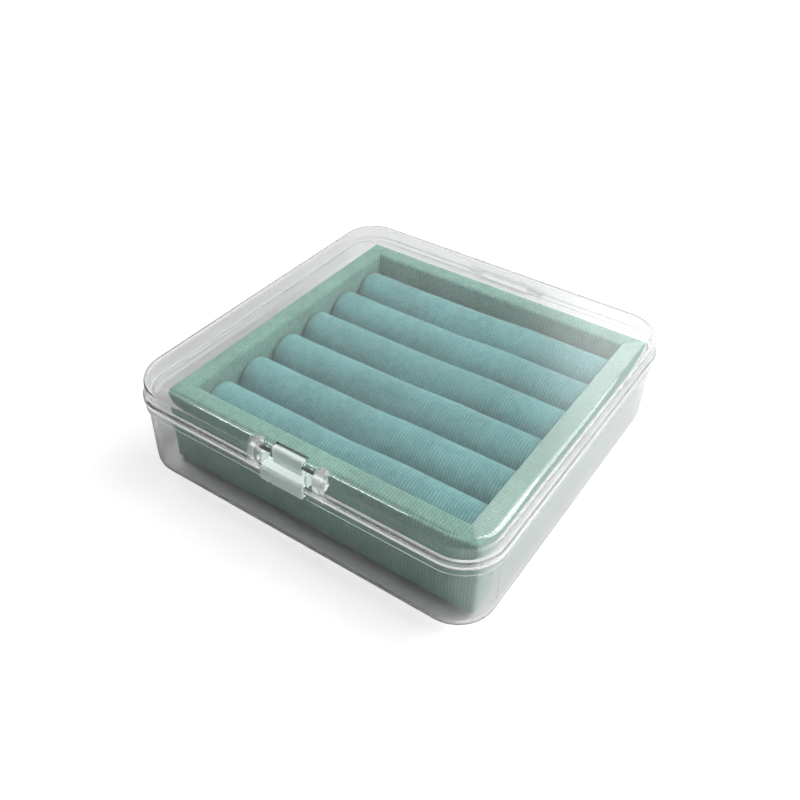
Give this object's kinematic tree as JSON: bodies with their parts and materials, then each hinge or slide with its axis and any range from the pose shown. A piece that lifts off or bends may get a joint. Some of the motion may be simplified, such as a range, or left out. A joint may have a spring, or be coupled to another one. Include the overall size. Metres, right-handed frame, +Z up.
{
  "type": "ring display box",
  "caption": "Clear hinged case with a swinging catch, holding a lift-out velvet tray whose soft rolls display rings.",
  "frame": {"origin": "middle of the base's underside, where the case rests", "axes": "+Z up out of the lid, -Y towards the catch, +Y towards the hinge, +X to the right seen from the catch"},
  "size_m": [0.135, 0.1398, 0.0374],
  "materials": {
    "clear_case": "clear moulded plastic with a faint haze",
    "clear_catch": "clear moulded plastic, milky where it is thick",
    "rail_velvet": "fine ribbed velvet, pale blue-green",
    "roll_velvet": "fine ribbed velvet, pale blue-green",
    "rail_wood": "raw fibreboard, hidden under the velvet",
    "tray_board": "grey board, hidden under the rolls",
    "roll_foam": "soft foam, hidden inside the velvet"
  },
  "bodies": {
    "base": {"base_shell": "clear_case"},
    "lid": {"lid_shell": "clear_case"},
    "latch": {"latch_clip": "clear_catch"},
    "tray": {"tray_board": "tray_board", "rail_front": "rail_wood", "rail_right": "rail_wood", "rail_back": "rail_wood", "rail_left": "rail_wood", "rail_velvet_front": "rail_velvet", "rail_velvet_right": "rail_velvet", "rail_velvet_back": "rail_velvet", "rail_velvet_left": "rail_velvet", "roll_core_1": "roll_foam", "roll_core_2": "roll_foam", "roll_core_3": "roll_foam", "roll_core_4": "roll_foam", "roll_core_5": "roll_foam", "roll_core_6": "roll_foam", "roll_velvet_1": "roll_velvet", "roll_velvet_2": "roll_velvet", "roll_velvet_3": "roll_velvet", "roll_velvet_4": "roll_velvet", "roll_velvet_5": "roll_velvet", "roll_velvet_6": "roll_velvet"}
  },
  "joints": [
    {"name": "lid_hinge", "type": "hinge", "parent": "base", "child": "lid", "pos_m": [0, 0.0694, 0.028], "axis": [-1, 0, 0], "range_deg": [0, 180]},
    {"name": "latch_pivot", "type": "hinge", "parent": "lid", "child": "latch", "pos_m": [0, -0.0646, 0.0336], "axis": [-1, 0, 0], "range_deg": [0, 15]},
    {"name": "tray_lift", "type": "slide", "parent": "base", "child": "tray", "axis": [0, 0, 1], "range_m": [0, 0.005]}
  ]
}
